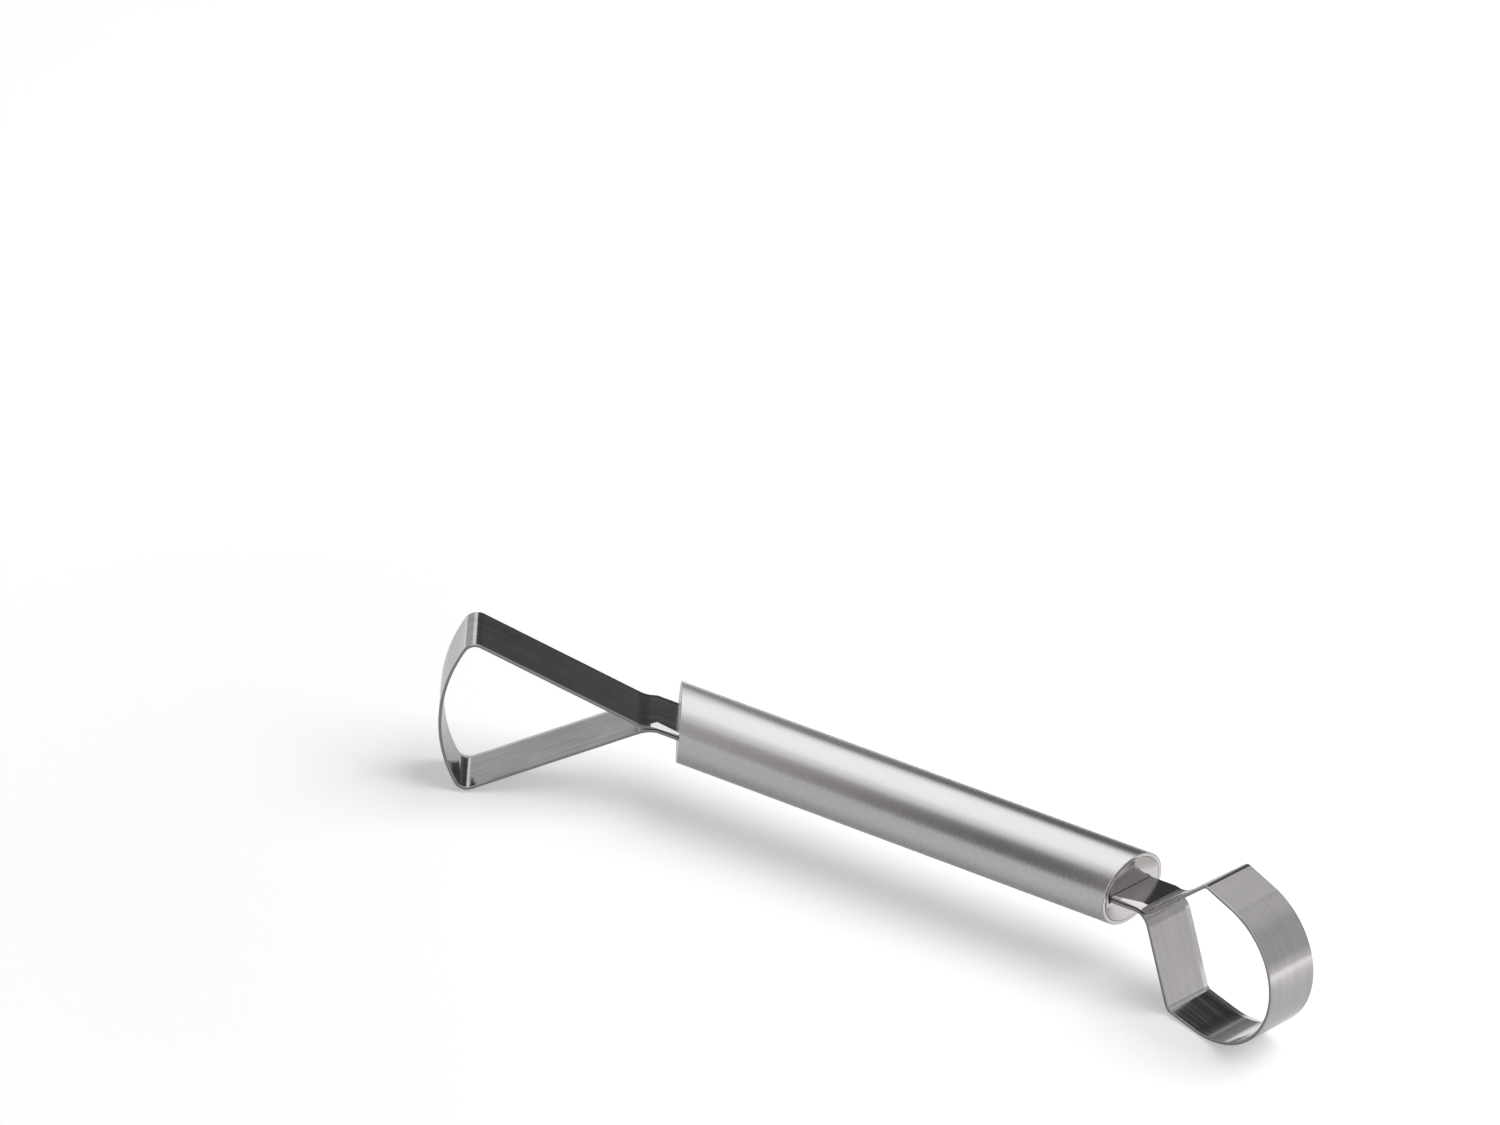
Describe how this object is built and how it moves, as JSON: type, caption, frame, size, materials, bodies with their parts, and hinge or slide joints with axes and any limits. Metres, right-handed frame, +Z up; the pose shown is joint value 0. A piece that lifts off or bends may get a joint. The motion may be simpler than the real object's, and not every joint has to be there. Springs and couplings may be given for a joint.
{
  "type": "pineapple slicer",
  "caption": "Hand slicer: a tubular steel handle cut on the slant, with a wedge-shaped loop blade at one end and a round loop blade with two corners at the other.",
  "frame": {"origin": "under the middle of the whole, level with the lowest point of the loops", "axes": "+X along the handle towards the small loop; +Y away from the side that both loops lean to; +Z up, square to the plane that halves the large loop"},
  "size_m": [0.2258, 0.041, 0.043],
  "materials": {
    "handle_steel": "satin, brushed round the tube",
    "cap_steel": "polished",
    "large_blade_steel": "polished, faint lines along the strip",
    "small_blade_steel": "polished, faint lines along the strip"
  },
  "bodies": {
    "root": {"handle_tube": "handle_steel", "large_end_cap": "cap_steel", "small_end_cap": "cap_steel", "large_blade_loop": "large_blade_steel", "small_blade_loop": "small_blade_steel"}
  },
  "joints": []
}
